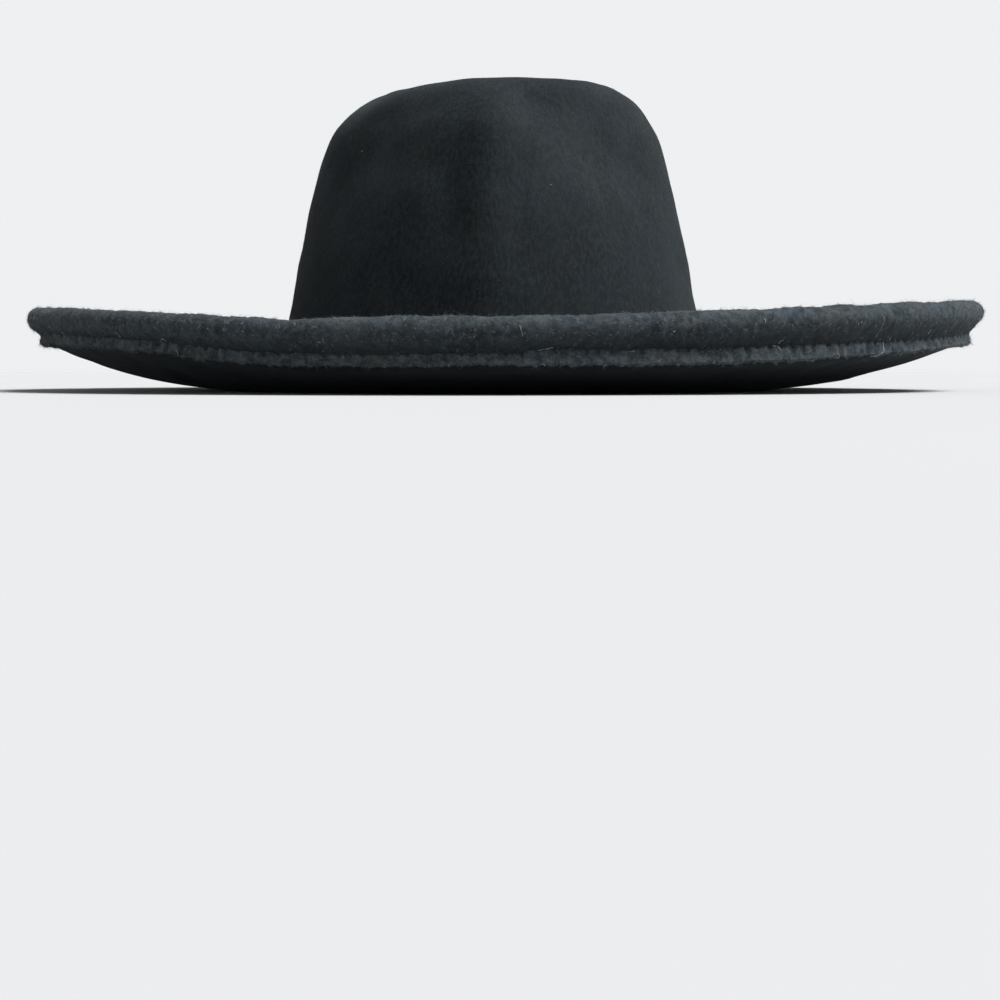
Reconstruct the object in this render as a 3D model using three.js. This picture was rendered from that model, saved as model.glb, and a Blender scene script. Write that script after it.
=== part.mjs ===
// A wide-brimmed fedora, blocked from one piece of wool felt: crown, brim and the brim's turned and sewn edge.
// Millimetres, +Z up, the front towards -Y. The hat stands brim down on the plane z = 0, and the origin is the
// middle of its box on that plane.
import * as THREE from "three";

// Felt
const FELT = 2.4;

// Head opening, measured inside
const HEAD_WIDTH = 164;
const HEAD_LENGTH = 197;

// Crown: height of its crest above the plane, outside, and the hollow blocked into its top
const CREST_FRONT = 115;
const CREST_SIDE = 118;
const CREST_BACK = 112;
const TOP_HOLLOW = 15;

// Brim: how far its turned edge reaches from the middle of the head opening, to the wearer's left and right, to
// the front and to the back
const REACH_LEFT = 190;
const REACH_RIGHT = 180;
const REACH_FRONT = 200;
const REACH_BACK = 200;

// Brim: how far it has risen where its edge starts to bend up, the bend from the crown into it, and the flat ring
// that it rests on
const LIFT_FRONT = 7.5;
const LIFT_SIDE = 16.5;
const LIFT_BACK = 7.5;
const BREAK_RADIUS = 5;
const REST_WIDTH = 8;

// Turned edge: the brim bends up to a steep wall, rolls over outwards, and comes down to a seam with a raw lip.
// The wall starts WALL_FOOT below the seam. SEAM_DEPTH runs from the middle of the roll to the seam, and SEAM_GAP is
// left between the two layers there.
const BEND_RADIUS = 8;
const WALL_STEEP = 72;
const WALL_FOOT = 1;
const ROLL_RADIUS = 1.7;
const SEAM_DEPTH = 7.8;
const SEAM_CREASE = 0.8;
const SEAM_GAP = 0.4;
const LIP_FLARE = 22;
const LIP_LENGTH = 2.6;

// Crown rings, from the hollow's floor over the crest to the foot. height is a share of the crest's height, apart
// from the rings in the hollow, where sunk is a share of TOP_HOLLOW. side, front and back are shares of the head
// opening's half width and half length.
const CROWN_RINGS = [
  { ring: "hollow floor", height: 1, sunk: 0.92, side: 0.17, front: 0.22, back: 0.22 },
  { ring: "hollow wall", height: 1, sunk: 0.5, side: 0.34, front: 0.42, back: 0.4 },
  { ring: "crest", height: 1, sunk: 0, side: 0.51, front: 0.6, back: 0.58 },
  { ring: "shoulder", height: 0.962, sunk: 0, side: 0.64, front: 0.72, back: 0.71 },
  { ring: "upper wall", height: 0.87, sunk: 0, side: 0.745, front: 0.8, back: 0.795 },
  { ring: "middle wall", height: 0.66, sunk: 0, side: 0.835, front: 0.87, back: 0.87 },
  { ring: "lower wall", height: 0.32, sunk: 0, side: 0.935, front: 0.95, back: 0.95 },
];

// Dents pressed into the crown, as shares of HEAD_WIDTH: inward is how deep, and drop is how far the felt sinks.
// Negative ones stand out, as the keel does between the two pinches. at is degrees round from the front, to the
// wearer's left positive, and leans by slant for each ring further down. ring counts rows of CROWN_RINGS. wide is in
// degrees and tall in rings, from the middle to where the dent has faded.
const DENTS = [
  { dent: "left pinch", at: 36, slant: 8, ring: 4.1, inward: 0.038, drop: 0.009, wide: 38, tall: 2.4 },
  { dent: "right pinch", at: -37, slant: -8, ring: 4, inward: 0.05, drop: 0.002, wide: 40, tall: 2.5 },
  { dent: "keel", at: -1, slant: -2, ring: 4.6, inward: -0.024, drop: 0, wide: 12, tall: 2.6 },
  { dent: "low right shoulder", at: -69, slant: 0, ring: 2.6, inward: 0.01, drop: 0.021, wide: 62, tall: 2.3 },
  { dent: "full left shoulder", at: 20, slant: 0, ring: 2.5, inward: -0.01, drop: -0.004, wide: 57, tall: 1.3 },
];

// Waves in the brim, which lift its edge by a share of LIFT_SIDE, and where its turned edge is wider or narrower by
// a share of SEAM_DEPTH
const WAVES = [
  { wave: "left front", at: 36, lift: -0.05, seam: 0.27, wide: 42 },
  { wave: "left edge", at: 76, lift: 0.03, seam: 0.05, wide: 30 },
  { wave: "left rear", at: 132, lift: -0.16, seam: 0, wide: 36 },
  { wave: "right front", at: -22, lift: -0.09, seam: 0, wide: 20 },
  { wave: "right quarter", at: -54, lift: 0.06, seam: -0.28, wide: 48 },
  { wave: "right edge", at: -84, lift: -0.06, seam: -0.05, wide: 26 },
  { wave: "right dip", at: -108, lift: -0.1, seam: 0, wide: 18 },
  { wave: "right rear", at: -136, lift: -0.18, seam: 0, wide: 38 },
];

// How finely the felt is divided
const AROUND = 64;
const STEPS = { ring: 3, break: 3, rest: 1, sweep: 4, bend: 3, wall: 1, roll: 5, welt: 1, seam: 2, lip: 1 };

const FULL_TURN = 2 * Math.PI;
const radians = THREE.MathUtils.degToRad;

// A size that changes round the hat, from its values at the front, the sides and the back.
function around(theta, front, side, back) {
  const along = Math.cos(theta);
  const end = along > 0 ? front : back;
  return side + (end - side) * along * along;
}

// A soft bump: 1 at its middle and 0 from its edge on.
function bump(distance, reach) {
  const share = Math.min(1, Math.abs(distance) / reach);
  return (1 + Math.cos(Math.PI * share)) / 2;
}

// How far apart two directions round the hat are, from -180 to 180 degrees.
function degreesBetween(theta, at) {
  const turn = (THREE.MathUtils.radToDeg(theta) - at) % 360;
  return ((turn + 540) % 360) - 180;
}

// A point at height z on an oval, where theta is 0 at the front and grows towards the wearer's left, which is +X.
function onOval(theta, { left, right, front, back }, z) {
  const across = Math.sin(theta) > 0 ? left : right;
  const along = Math.cos(theta) > 0 ? front : back;
  return new THREE.Vector3(across * Math.sin(theta), -along * Math.cos(theta), z);
}

// The head opening's oval, or a ring of it that is drawn in by the shares side, front and back.
function headOval(theta, z, { side, front, back } = { side: 1, front: 1, back: 1 }) {
  const across = (side * HEAD_WIDTH) / 2;
  const sizes = { left: across, right: across, front: (front * HEAD_LENGTH) / 2, back: (back * HEAD_LENGTH) / 2 };
  return onOval(theta, sizes, z);
}

function dented(point, theta, ring) {
  let inward = 0;
  let drop = 0;
  for (const dent of DENTS) {
    const middle = dent.at + dent.slant * (ring - dent.ring);
    const here = bump(degreesBetween(theta, middle), dent.wide) * bump(ring - dent.ring, dent.tall) * HEAD_WIDTH;
    inward += dent.inward * here;
    drop += dent.drop * here;
  }
  const out = Math.hypot(point.x, point.y);
  const kept = out > inward ? 1 - inward / out : 1;
  return new THREE.Vector3(point.x * kept, point.y * kept, point.z - drop);
}

// The inside of the crown at one direction, from the middle of the hollow's floor to the foot of the wall.
function crownProfile(theta) {
  const crest = around(theta, CREST_FRONT, CREST_SIDE, CREST_BACK) - FELT;
  const ringPoint = (row, angle, top) => headOval(angle, row.height * top - row.sunk * TOP_HOLLOW, row);
  const floor = new THREE.Vector3(0, 0, CREST_SIDE - FELT - TOP_HOLLOW);
  const across = around(theta + Math.PI, CREST_FRONT, CREST_SIDE, CREST_BACK) - FELT;
  const foot = headOval(theta, BREAK_RADIUS);
  const below = foot.clone().setZ(BREAK_RADIUS - (CROWN_RINGS.at(-1).height * crest) / 2);
  const curve = new THREE.CatmullRomCurve3([
    ringPoint(CROWN_RINGS[0], theta + Math.PI, across),
    floor,
    ...CROWN_RINGS.map((row) => ringPoint(row, theta, crest)),
    foot,
    below,
  ]);
  const spans = CROWN_RINGS.length + 1;
  const points = [];
  for (let i = 0; i <= spans * STEPS.ring; i++) {
    const ring = i / STEPS.ring;
    const point = curve.getPoint((ring + 1) / (spans + 2));
    points.push(dented(point, theta, ring - 1));
  }
  points[points.length - 1] = foot;
  return points;
}

// Walks a path of lines and arcs in a plane. Each stretch turns evenly over its length, left being positive, and
// the path gains a point at the end of each of its steps.
function walk(start, heading, stretches) {
  const path = [];
  let { r, z } = start;
  let angle = heading;
  for (const { length, turn, steps } of stretches) {
    for (let i = 0; i < steps; i++) {
      const bend = turn / steps;
      const chord = bend ? ((length / turn) * 2 * Math.sin(bend / 2)) : length / steps;
      r += chord * Math.cos(angle + bend / 2);
      z += chord * Math.sin(angle + bend / 2);
      angle += bend;
      path.push({ r, z });
    }
  }
  return path;
}

// The stretches of the turned edge. The felt comes down from the roll in a straight line that touches both the
// roll and the seam's bend, which lies SEAM_GAP clear of the wall and leaves a crease on the outside.
function turnedEdge(heading, seamDepth) {
  const steep = radians(WALL_STEEP);
  const seamRadius = FELT + SEAM_CREASE;
  const aside = SEAM_GAP + seamRadius - ROLL_RADIUS;
  const apart = Math.hypot(aside, seamDepth);
  const both = ROLL_RADIUS + seamRadius;
  const closing = Math.asin(both / apart) - Math.atan2(aside, seamDepth);
  const flare = closing + radians(LIP_FLARE);
  return [
    { length: BEND_RADIUS * (steep - heading), turn: steep - heading, steps: STEPS.bend },
    { length: seamDepth + WALL_FOOT, turn: 0, steps: STEPS.wall },
    { length: ROLL_RADIUS * (Math.PI + closing), turn: -(Math.PI + closing), steps: STEPS.roll },
    { length: Math.sqrt(apart * apart - both * both), turn: 0, steps: STEPS.welt },
    { length: seamRadius * flare, turn: flare, steps: STEPS.seam },
    { length: LIP_LENGTH, turn: 0, steps: STEPS.lip },
  ];
}

// The underside of the brim at one direction, as distance r out from the head opening and height z.
function brimPath(theta, width) {
  const waves = (column) =>
    WAVES.reduce((sum, wave) => sum + wave[column] * bump(degreesBetween(theta, wave.at), wave.wide), 0);
  const lift = around(theta, LIFT_FRONT, LIFT_SIDE, LIFT_BACK) + waves("lift") * LIFT_SIDE;
  const seamDepth = SEAM_DEPTH * (1 + waves("seam"));
  const path = [];
  for (let i = 1; i <= STEPS.break; i++) {
    const angle = (i / STEPS.break) * (Math.PI / 2);
    path.push({ r: BREAK_RADIUS * (1 - Math.cos(angle)), z: BREAK_RADIUS * (1 - Math.sin(angle)) });
  }
  for (let i = 1; i <= STEPS.rest; i++) path.push({ r: BREAK_RADIUS + (i / STEPS.rest) * REST_WIDTH, z: 0 });
  const inner = BREAK_RADIUS + REST_WIDTH;
  const edgeReach = (heading) =>
    Math.max(...walk({ r: 0, z: 0 }, heading, turnedEdge(heading, seamDepth)).map((p) => p.r)) + FELT;
  // The slope where the sweep ends sets how far the turned edge reaches, and the sweep takes the rest.
  const nearly = width - inner - edgeReach(0);
  const heading = Math.atan2(2 * lift, nearly);
  const sweep = width - inner - edgeReach(heading);
  for (let i = 1; i <= STEPS.sweep; i++) {
    const share = i / STEPS.sweep;
    path.push({ r: inner + share * sweep, z: lift * share * share });
  }
  return path.concat(walk(path.at(-1), heading, turnedEdge(heading, seamDepth)));
}

// The felt's inner side at one direction, from the middle of the crown to the raw edge.
function innerProfile(theta) {
  const root = headOval(theta, 0);
  const rim = onOval(theta, { left: REACH_LEFT, right: REACH_RIGHT, front: REACH_FRONT, back: REACH_BACK }, 0);
  const outward = rim.clone().sub(root);
  const width = outward.length();
  outward.normalize();
  const brim = brimPath(theta, width).map(({ r, z }) => root.clone().addScaledVector(outward, r).setZ(z));
  return [...crownProfile(theta), ...brim];
}

// The felt as one closed surface: its inner side, and its outer side FELT away along the normals. The middle of
// the crown is one point, and the two sides meet at the raw edge.
function feltGeometry() {
  const inner = Array.from({ length: AROUND }, (_, i) => innerProfile((i / AROUND) * FULL_TURN));
  const rows = inner[0].length;
  const at = (i, j) => inner[(i + AROUND) % AROUND][j];
  const vertices = [];
  const add = (point) => vertices.push(point.x, point.y, point.z);
  const raise = (i, j) => {
    const down = new THREE.Vector3().subVectors(at(i, Math.min(j + 1, rows - 1)), at(i, j - 1));
    const round = new THREE.Vector3().subVectors(at(i + 1, j), at(i - 1, j));
    return at(i, j).clone().addScaledVector(down.cross(round).normalize(), FELT);
  };
  const middle = inner[0][0];
  add(middle);
  add(middle.clone().setZ(middle.z + FELT));
  const index = (side, i, j) => 2 + (side * (rows - 1) + j - 1) * AROUND + ((i + AROUND) % AROUND);
  for (const side of [0, 1])
    for (let j = 1; j < rows; j++) for (let i = 0; i < AROUND; i++) add(side ? raise(i, j) : at(i, j));

  const faces = [];
  const quad = (a, b, c, d) => faces.push(a, b, c, a, c, d);
  for (let i = 0; i < AROUND; i++) {
    faces.push(0, index(0, i + 1, 1), index(0, i, 1));
    faces.push(1, index(1, i, 1), index(1, i + 1, 1));
    for (let j = 1; j < rows - 1; j++) {
      quad(index(0, i, j), index(0, i + 1, j), index(0, i + 1, j + 1), index(0, i, j + 1));
      quad(index(1, i, j), index(1, i, j + 1), index(1, i + 1, j + 1), index(1, i + 1, j));
    }
    quad(index(0, i, rows - 1), index(0, i + 1, rows - 1), index(1, i + 1, rows - 1), index(1, i, rows - 1));
  }
  const geometry = new THREE.BufferGeometry();
  geometry.setAttribute("position", new THREE.Float32BufferAttribute(vertices, 3));
  geometry.setIndex(faces);
  geometry.computeVertexNormals();
  return geometry;
}

const blackFelt = new THREE.MeshStandardMaterial({ color: 0x1d2123, roughness: 0.95, metalness: 0 });

const feltBody = new THREE.Mesh(feltGeometry(), blackFelt);
feltBody.name = "felt_body";

// The head opening is a little off the middle of the brim, so the group moves to put the brim's middle at the origin.
const hat = new THREE.Group();
hat.add(feltBody);
hat.position.set((REACH_RIGHT - REACH_LEFT) / 2, (REACH_FRONT - REACH_BACK) / 2, 0);

export default hat;
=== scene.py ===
"""Looks of a wide-brimmed fedora of black wool felt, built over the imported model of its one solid.

The hat is one skin of felt. Its rows run from the middle of the hollow in the crown's top, over the crest
and down to the flat ring that the hat rests on, out along the brim, up its edge, over the roll, and down to
the raw lip below the stitching. The thread in the seam, the nap and the lint all grow from that skin.

Metres, +Z up, the front towards -Y. Directions round the hat are angles from its front to its left side.
"""

import logging
import math
from dataclasses import dataclass
from enum import Enum

import bpy
import numpy as np
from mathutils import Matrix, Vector


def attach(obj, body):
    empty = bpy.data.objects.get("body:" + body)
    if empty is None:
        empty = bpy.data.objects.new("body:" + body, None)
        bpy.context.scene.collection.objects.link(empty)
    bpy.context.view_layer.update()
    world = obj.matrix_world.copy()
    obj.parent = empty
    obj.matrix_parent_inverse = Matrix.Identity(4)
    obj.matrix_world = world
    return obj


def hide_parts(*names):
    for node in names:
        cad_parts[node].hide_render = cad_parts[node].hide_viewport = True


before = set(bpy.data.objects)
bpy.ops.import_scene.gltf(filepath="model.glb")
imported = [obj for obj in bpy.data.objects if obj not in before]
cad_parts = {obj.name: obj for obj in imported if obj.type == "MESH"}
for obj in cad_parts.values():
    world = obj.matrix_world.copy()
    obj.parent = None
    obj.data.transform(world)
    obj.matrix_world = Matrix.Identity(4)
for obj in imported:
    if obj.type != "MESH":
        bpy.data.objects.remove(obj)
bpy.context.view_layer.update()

log = logging.getLogger("fedora")

FULL_TURN = 2 * math.pi
BODY = "root"
FELT_NODE = "felt_body"
# How far the nap is raised; on the turned edge this level also carries painted light and shade.
NAP_AND_PAINTED_LIGHT_ATTRIBUTE = "raised_nap"


class Zone(Enum):
    """The stretches of the felt's skin, in order from the middle of the crown to the raw edge."""

    CROWN = 0
    BREAK = 1
    REST = 2
    SWEEP = 3
    BEND = 4
    WALL = 5
    ROLL = 6
    WELT = 7
    SEAM = 8
    LIP = 9


@dataclass(frozen=True)
class CrownRing:
    """A ring of the crown, in shares of the crest's height, the hollow's depth and the opening's size."""

    height: float
    sunk: float
    side: float
    front: float
    back: float


@dataclass(frozen=True)
class Dent:
    """A dent in the crown, in shares of the head's width, placed by degrees from the front and by rings."""

    at: float
    slant: float
    ring: float
    inward: float
    drop: float
    wide: float
    tall: float


@dataclass(frozen=True)
class Wave:
    """A wave in the brim: shares of the sides' lift and of the seam's depth, at degrees from the front."""

    at: float
    lift: float
    seam: float
    wide: float


@dataclass(frozen=True)
class Fineness:
    """How many columns go round the skin, and how many rows each of its stretches is divided into."""

    around: int
    ring: int
    break_rows: int
    rest: int
    sweep: int
    bend: int
    wall: int
    roll: int
    welt: int
    seam: int
    lip: int


def swell(distance: np.ndarray, reach: float) -> np.ndarray:
    """A soft bump.

    Args:
        distance: How far each place is from the bump's middle.
        reach: Where the bump has faded.

    Returns:
        1 in the middle, falling to 0 at reach and beyond.
    """
    share = np.minimum(1.0, np.abs(distance) / reach)
    return (1 + np.cos(np.pi * share)) / 2


def ease(value: np.ndarray, low: float, high: float) -> np.ndarray:
    """A soft step.

    Args:
        value: What is stepped.
        low: Where the step starts.
        high: Where it ends.

    Returns:
        0 below low, 1 above high, and a smooth rise between.
    """
    share = np.clip((value - low) / (high - low), 0.0, 1.0)
    return share * share * (3 - 2 * share)


def degrees_between(theta: np.ndarray, at: float) -> np.ndarray:
    """How far directions are from another one.

    Args:
        theta: Directions round the hat, in radians.
        at: The other direction, in degrees.

    Returns:
        Degrees, from -180 to 180.
    """
    return (np.degrees(theta) - at + 540) % 360 - 180


def between(theta: np.ndarray, front: float, side: float, back: float) -> np.ndarray:
    """A size that changes round the hat.

    Args:
        theta: Directions round the hat.
        front: The size at the front.
        side: The size at both sides.
        back: The size at the back.

    Returns:
        The size at each direction.
    """
    along = np.cos(theta)
    end = np.where(along > 0, front, back)
    return side + (end - side) * along * along


def unit(vectors: np.ndarray) -> np.ndarray:
    """The vectors, each brought to length 1."""
    length = np.linalg.norm(vectors, axis=-1, keepdims=True)
    return vectors / np.maximum(length, 1e-12)


def ripple(theta: np.ndarray, seed: int, lowest: int, highest: int) -> np.ndarray:
    """An uneven wave that closes on itself round the hat.

    Args:
        theta: Directions round the hat.
        seed: Which wave it is.
        lowest: Fewest waves in a turn.
        highest: Most waves in a turn.

    Returns:
        Values of about -1 to 1.
    """
    chance = np.random.default_rng(seed)
    total = np.zeros_like(theta)
    counts = np.unique(np.round(np.geomspace(lowest, highest, 9)).astype(int))
    for count in counts:
        total += chance.uniform(0.5, 1.0) * np.cos(count * theta + chance.uniform(0, FULL_TURN))
    return total / math.sqrt(len(counts))


def lumps(points: np.ndarray, seed: int, shortest: float, longest: float) -> np.ndarray:
    """Soft unevenness in space, the same for two pieces that share a place.

    Args:
        points: Places, as an array whose last axis is x, y and z.
        seed: Which unevenness it is.
        shortest: The shortest wave in it.
        longest: The longest wave in it.

    Returns:
        Values of about -1 to 1.
    """
    chance = np.random.default_rng(seed)
    total = np.zeros(points.shape[:-1])
    waves = 22
    for length in np.geomspace(shortest, longest, waves):
        heading = unit(chance.normal(size=3))
        total += np.sin(points @ heading * (FULL_TURN / length) + chance.uniform(0, FULL_TURN))
    return total / math.sqrt(waves / 2)


def brushed(points: np.ndarray) -> np.ndarray:
    """How far the smooth felt's nap stands up at each place, after uneven brushing and handling.

    Args:
        points: Places on the felt.

    Returns:
        Values of 0 to 0.2, where 1 would be the full nap of the roll.
    """
    level, change, most = 0.035, 0.04, 0.2
    return np.clip(level + change * lumps(points, 71, 0.018, 0.08), 0.0, most)


def walk(
    r: np.ndarray, z: np.ndarray, heading: np.ndarray, stretches: list[tuple[np.ndarray, np.ndarray, int]]
) -> tuple[np.ndarray, np.ndarray]:
    """Walks a path of lines and arcs at every direction round the hat at once.

    Args:
        r: How far out each path starts.
        z: How high each path starts.
        heading: Which way each path starts, as an angle above level.
        stretches: Length, turn to the left and number of rows of each stretch.

    Returns:
        How far out and how high the rows are, as arrays of columns by rows.
    """
    out: list[np.ndarray] = []
    up: list[np.ndarray] = []
    angle = heading
    for length, turn, steps in stretches:
        bend = turn / steps
        straight = np.abs(turn) < 1e-9
        arc = length / np.where(straight, 1.0, turn) * 2 * np.sin(bend / 2)
        chord = np.where(straight, length / steps, arc)
        for _ in range(steps):
            r = r + chord * np.cos(angle + bend / 2)
            z = z + chord * np.sin(angle + bend / 2)
            angle = angle + bend
            out.append(r)
            up.append(z)
    return np.stack(out, axis=1), np.stack(up, axis=1)


@dataclass(frozen=True)
class Skin:
    """The felt as two grids of points, its under side and its upper side, with the rows' zones."""

    theta: np.ndarray
    under: np.ndarray
    upper: np.ndarray
    normal: np.ndarray
    zone: np.ndarray
    share: np.ndarray

    def rows_in(self, *zones: Zone) -> np.ndarray:
        """Which rows lie in these zones.

        Args:
            zones: The zones.

        Returns:
            The rows' indices, in order.
        """
        return np.where(np.isin(self.zone, [z.value for z in zones]))[0]


@dataclass(frozen=True)
class BlockedForm:
    """The hat's form as it was blocked, and how its turned edge was sewn down."""

    felt: float = 0.0024
    head_width: float = 0.164
    head_length: float = 0.197
    crest_front: float = 0.115
    crest_side: float = 0.118
    crest_back: float = 0.112
    top_hollow: float = 0.015
    reach_left: float = 0.190
    reach_right: float = 0.180
    reach_front: float = 0.200
    reach_back: float = 0.200
    lift_front: float = 0.0075
    lift_side: float = 0.0165
    lift_back: float = 0.0075
    break_radius: float = 0.005
    rest_width: float = 0.008
    bend_radius: float = 0.008
    wall_steep: float = 72
    wall_foot: float = 0.001
    roll_radius: float = 0.0017
    seam_depth: float = 0.0078
    seam_crease: float = 0.0008
    seam_gap: float = 0.0004
    lip_flare: float = 31
    flare_change: float = 5
    lip_length: float = 0.0026
    lip_waver: float = 0.00022
    lip_nicks: float = 0.00013
    open_at: float = 74
    open_wide: float = 34
    open_flare: float = 9
    overlap_at: float = 3.4
    overlap_ends: tuple[float, float] = (24, 70)
    overlap_rise: float = 0.0011
    unevenness: float = 0.00018
    even_below: float = 0.0005
    uneven_from: float = 0.006
    crown_rings: tuple[CrownRing, ...] = (
        CrownRing(1, 0.92, 0.17, 0.22, 0.22),
        CrownRing(1, 0.5, 0.34, 0.42, 0.4),
        CrownRing(1, 0, 0.51, 0.6, 0.58),
        CrownRing(0.962, 0, 0.64, 0.72, 0.71),
        CrownRing(0.87, 0, 0.745, 0.8, 0.795),
        CrownRing(0.66, 0, 0.835, 0.87, 0.87),
        CrownRing(0.32, 0, 0.935, 0.95, 0.95),
    )
    dents: tuple[Dent, ...] = (
        Dent(36, 8, 4.1, 0.038, 0.009, 38, 2.4),
        Dent(-37, -8, 4, 0.05, 0.002, 40, 2.5),
        Dent(-1, -2, 4.6, -0.024, 0, 12, 2.6),
        Dent(-69, 0, 2.6, 0.01, 0.021, 62, 2.3),
        Dent(20, 0, 2.5, -0.01, -0.004, 57, 1.3),
    )
    waves: tuple[Wave, ...] = (
        Wave(36, -0.05, 0.27, 42),
        Wave(76, 0.03, 0.05, 30),
        Wave(132, -0.16, 0, 36),
        Wave(-22, -0.09, 0, 20),
        Wave(-54, 0.06, -0.28, 48),
        Wave(-84, -0.06, -0.05, 26),
        Wave(-108, -0.1, 0, 18),
        Wave(-136, -0.18, 0, 38),
    )

    @staticmethod
    def oval(theta: np.ndarray, sizes: tuple[float, float, float, float], z: np.ndarray) -> np.ndarray:
        """Points on an oval round the head opening.

        Args:
            theta: Directions round the hat.
            sizes: Half sizes to the left, right, front and back.
            z: Their height.

        Returns:
            The points, one for each direction.
        """
        left, right, front, back = sizes
        across = np.where(np.sin(theta) > 0, left, right) * np.sin(theta)
        along = np.where(np.cos(theta) > 0, front, back) * np.cos(theta)
        return np.stack([across, -along, np.broadcast_to(z, theta.shape)], axis=-1)

    def head_oval(self, theta: np.ndarray, z: np.ndarray, ring: CrownRing | None = None) -> np.ndarray:
        """Points on the head opening's oval, or on a ring of the crown.

        Args:
            theta: Directions round the hat.
            z: Their height.
            ring: The ring that the oval is drawn in to.

        Returns:
            The points, one for each direction.
        """
        side, front, back = (ring.side, ring.front, ring.back) if ring else (1.0, 1.0, 1.0)
        across = side * self.head_width / 2
        sizes = (across, across, front * self.head_length / 2, back * self.head_length / 2)
        return self.oval(theta, sizes, z)

    def dented(self, points: np.ndarray, theta: np.ndarray, ring: float) -> np.ndarray:
        """Presses the dents into one row of the crown.

        Args:
            points: The row's points.
            theta: Their directions.
            ring: Where the row is, counted in rings.

        Returns:
            The dented points.
        """
        inward = np.zeros_like(theta)
        drop = np.zeros_like(theta)
        for dent in self.dents:
            middle = dent.at + dent.slant * (ring - dent.ring)
            here = swell(degrees_between(theta, middle), dent.wide) * self.head_width
            here = here * swell(np.float64(ring - dent.ring), dent.tall)
            inward += dent.inward * here
            drop += dent.drop * here
        out = np.maximum(np.hypot(points[:, 0], points[:, 1]), 1e-9)
        kept = np.where(out > inward, 1 - inward / out, 1.0)
        return np.stack([points[:, 0] * kept, points[:, 1] * kept, points[:, 2] - drop], axis=-1)

    def crown(self, theta: np.ndarray, per_ring: int) -> np.ndarray:
        """The crown's under side, from the middle of the hollow's floor to the foot of the wall.

        Args:
            theta: Directions round the hat.
            per_ring: Rows between one ring and the next.

        Returns:
            Points, as columns by rows by x, y and z.
        """
        crest = between(theta, self.crest_front, self.crest_side, self.crest_back) - self.felt
        across = between(theta + np.pi, self.crest_front, self.crest_side, self.crest_back) - self.felt
        rings = self.crown_rings
        first = rings[0]
        floor_z = self.crest_side - self.felt - self.top_hollow
        foot = self.head_oval(theta, self.break_radius)
        below = foot.copy()
        below[:, 2] = self.break_radius - rings[-1].height * crest / 2
        knots = [
            self.head_oval(theta + np.pi, first.height * across - first.sunk * self.top_hollow, first),
            np.tile([0.0, 0.0, floor_z], (len(theta), 1)),
            *(self.head_oval(theta, r.height * crest - r.sunk * self.top_hollow, r) for r in rings),
            foot,
            below,
        ]
        spans = len(rings) + 1
        rows = []
        for step in range(spans * per_ring + 1):
            ring = step / per_ring
            start = min(int(ring) + 1, spans)
            points = self.spline(knots[start - 1 : start + 3], ring + 1 - start)
            rows.append(self.dented(points, theta, ring - 1))
        rows[-1] = foot
        return np.stack(rows, axis=1)

    @staticmethod
    def spline(knots: list[np.ndarray], share: float) -> np.ndarray:
        """A centripetal spline between the middle two of four knots.

        Args:
            knots: Four arrays of points.
            share: How far along the middle span, from 0 to 1.

        Returns:
            The points there.
        """
        first, start, end, last = knots
        before, span, after = (
            np.maximum(np.linalg.norm(b - a, axis=-1, keepdims=True), 1e-9) ** 0.5
            for a, b in ((first, start), (start, end), (end, last))
        )
        leave = ((start - first) / before - (end - first) / (before + span) + (end - start) / span) * span
        reach = ((end - start) / span - (last - start) / (span + after) + (last - end) / after) * span
        square = -3 * start + 3 * end - 2 * leave - reach
        cube = 2 * start - 2 * end + leave + reach
        return start + leave * share + square * share**2 + cube * share**3

    def turned_edge(self, theta: np.ndarray, heading: np.ndarray, rows: Fineness) -> list[tuple]:
        """The stretches of the turned edge: bend, wall, roll, welt, seam and lip.

        Args:
            theta: Directions round the hat.
            heading: How steeply the brim arrives at each.
            rows: How many rows each stretch has.

        Returns:
            Length, turn and number of rows of each stretch.
        """
        rise = self.overlap(theta) * self.overlap_rise
        waves = sum(w.seam * swell(degrees_between(theta, w.at), w.wide) for w in self.waves)
        depth = self.seam_depth * (1 + waves) - rise
        steep = math.radians(self.wall_steep)
        seam_radius = self.felt + self.seam_crease
        aside = self.seam_gap + seam_radius - self.roll_radius
        apart = np.hypot(aside, depth)
        both = self.roll_radius + seam_radius
        closing = np.arcsin(both / apart) - np.arctan2(aside, depth)
        opened = swell(degrees_between(theta, self.open_at), self.open_wide) * self.open_flare
        flare = closing + np.radians(self.lip_flare + self.flare_change * ripple(theta, 3, 5, 40) + opened)
        waver = self.lip_waver * ripple(theta, 4, 9, 90)
        lip = self.lip_length + rise + waver + self.lip_nicks * ripple(theta, 5, 150, 600)
        level = np.zeros_like(theta)
        return [
            (self.bend_radius * (steep - heading), steep - heading, rows.bend),
            (depth + rise + self.wall_foot, level, rows.wall),
            (self.roll_radius * (np.pi + closing), -(np.pi + closing), rows.roll),
            (np.sqrt(apart**2 - both**2), level, rows.welt),
            (seam_radius * flare, flare, rows.seam),
            (lip, level, rows.lip),
        ]

    def overlap(self, theta: np.ndarray) -> np.ndarray:
        """How far the seam has climbed after its ends' overlap.

        Args:
            theta: Directions round the hat.

        Returns:
            1 just past the overlap, falling to 0 further on.
        """
        past = degrees_between(theta, self.overlap_at)
        return ease(past, -0.15, 0.15) * (1 - ease(past, *self.overlap_ends))

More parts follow.
